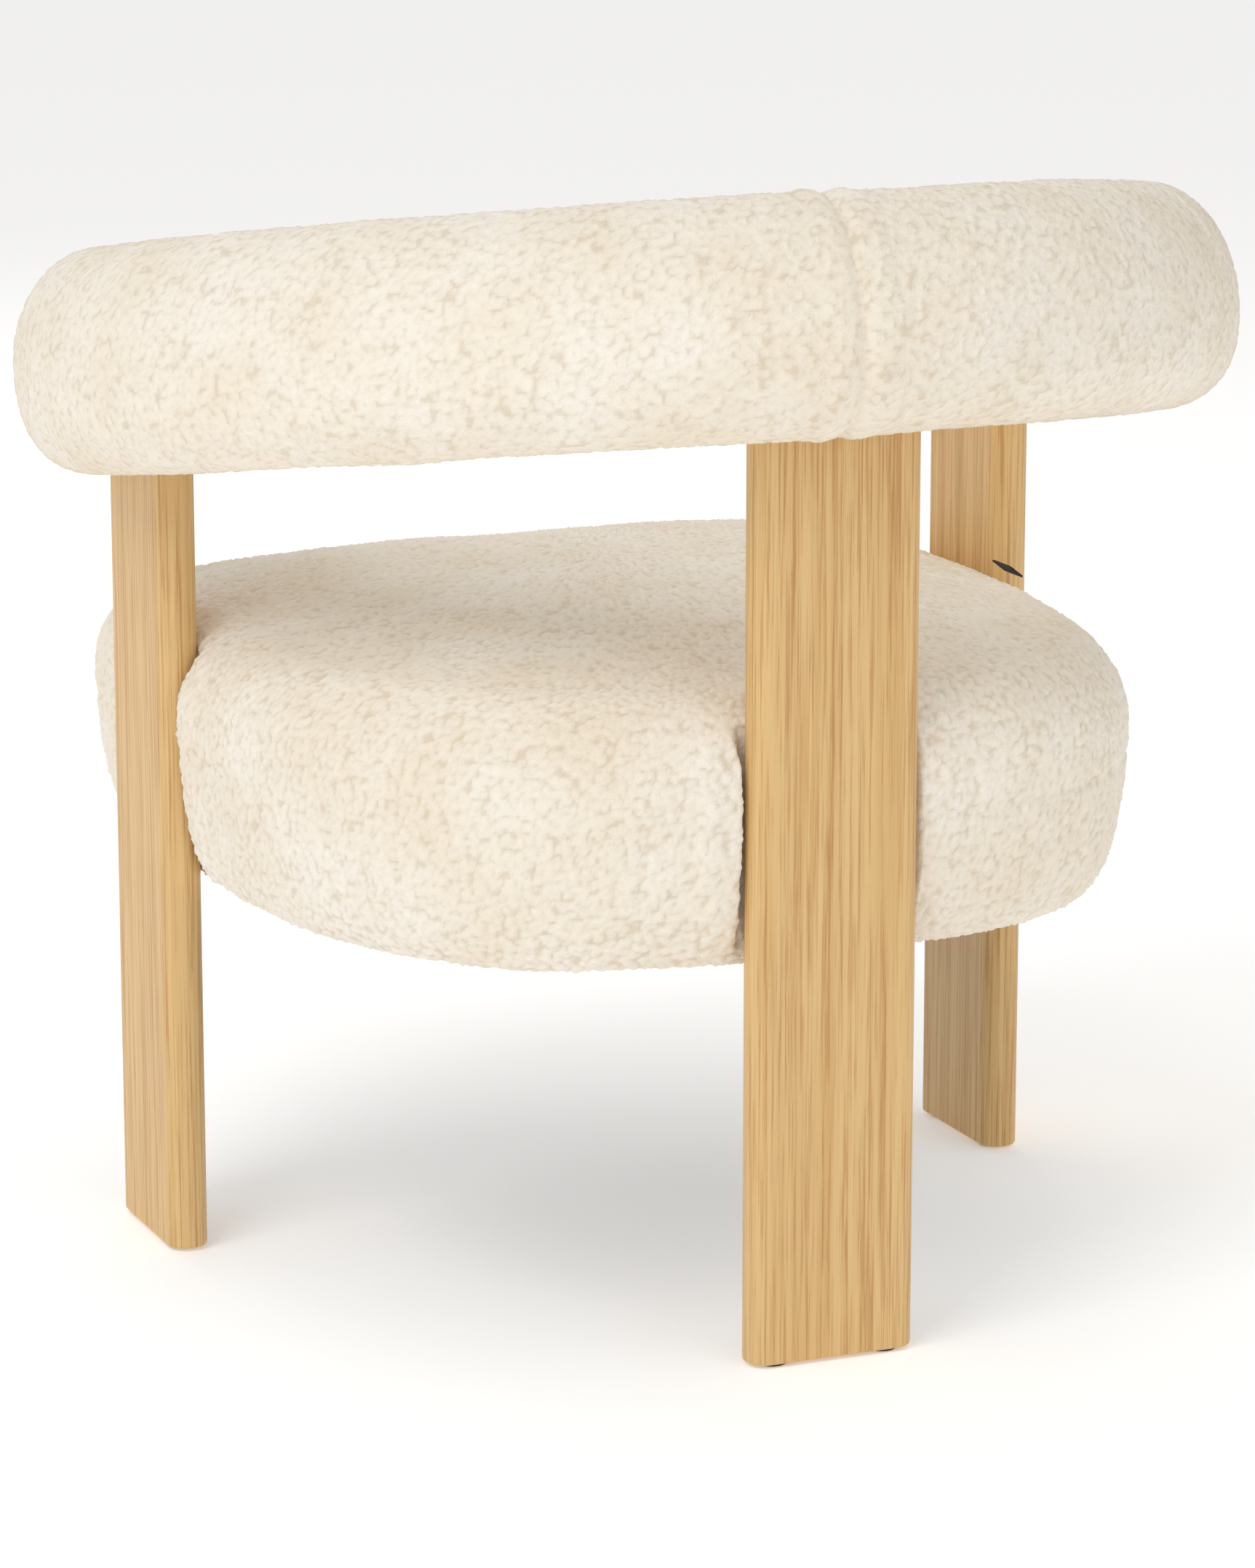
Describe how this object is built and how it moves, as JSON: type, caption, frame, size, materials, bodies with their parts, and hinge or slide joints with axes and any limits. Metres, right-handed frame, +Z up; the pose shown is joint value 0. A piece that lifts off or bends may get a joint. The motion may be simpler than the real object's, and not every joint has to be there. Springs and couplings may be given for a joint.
{
  "type": "upholstered armchair",
  "caption": "Low tub armchair: flat wooden plank legs carry a C-shaped padded bolster that is back and arms, round a thick fleece-covered seat.",
  "frame": {"origin": "on the floor under the middle of the chair's bounding box", "axes": "+Z up, the chair faces -Y, +X is to the sitter's left"},
  "size_m": [0.757, 0.6792, 0.7001],
  "materials": {
    "pale_wood": "pale honey wood, satin lacquer",
    "frame_wood": "sawn hardwood, unfinished",
    "cream_fleece": "curly cream fleece pile",
    "foam": "upholstery foam",
    "dark_felt": "needled felt and dust cloth",
    "zinc_steel": "zinc plated steel",
    "nylon": "moulded nylon",
    "woven_tag": "blank woven ribbon"
  },
  "bodies": {
    "root": {"backrest_core": "frame_wood", "backrest_cover_left": "cream_fleece", "backrest_cover_right": "cream_fleece", "backrest_dowels": "frame_wood", "backrest_foam": "foam", "backrest_screws": "zinc_steel", "backrest_under_pad": "foam", "cloth_staples": "zinc_steel", "corner_blocks": "frame_wood", "cover_tag": "woven_tag", "cross_rail": "frame_wood", "deck_felt": "dark_felt", "dust_cloth": "dark_felt", "front_padding": "foam", "front_rail": "frame_wood", "glide_nails": "zinc_steel", "left_leg": "pale_wood", "left_padding": "foam", "left_rail": "frame_wood", "leg_glides": "nylon", "leg_inserts": "zinc_steel", "rear_leg": "pale_wood", "rear_rail": "frame_wood", "right_leg": "pale_wood", "right_padding": "foam", "right_rail": "frame_wood", "seat_band_cover": "cream_fleece", "seat_bolts": "zinc_steel", "seat_foam": "foam", "seat_springs": "zinc_steel", "seat_top_cover": "cream_fleece", "seat_washers": "zinc_steel", "spring_clips": "zinc_steel"}
  },
  "joints": []
}
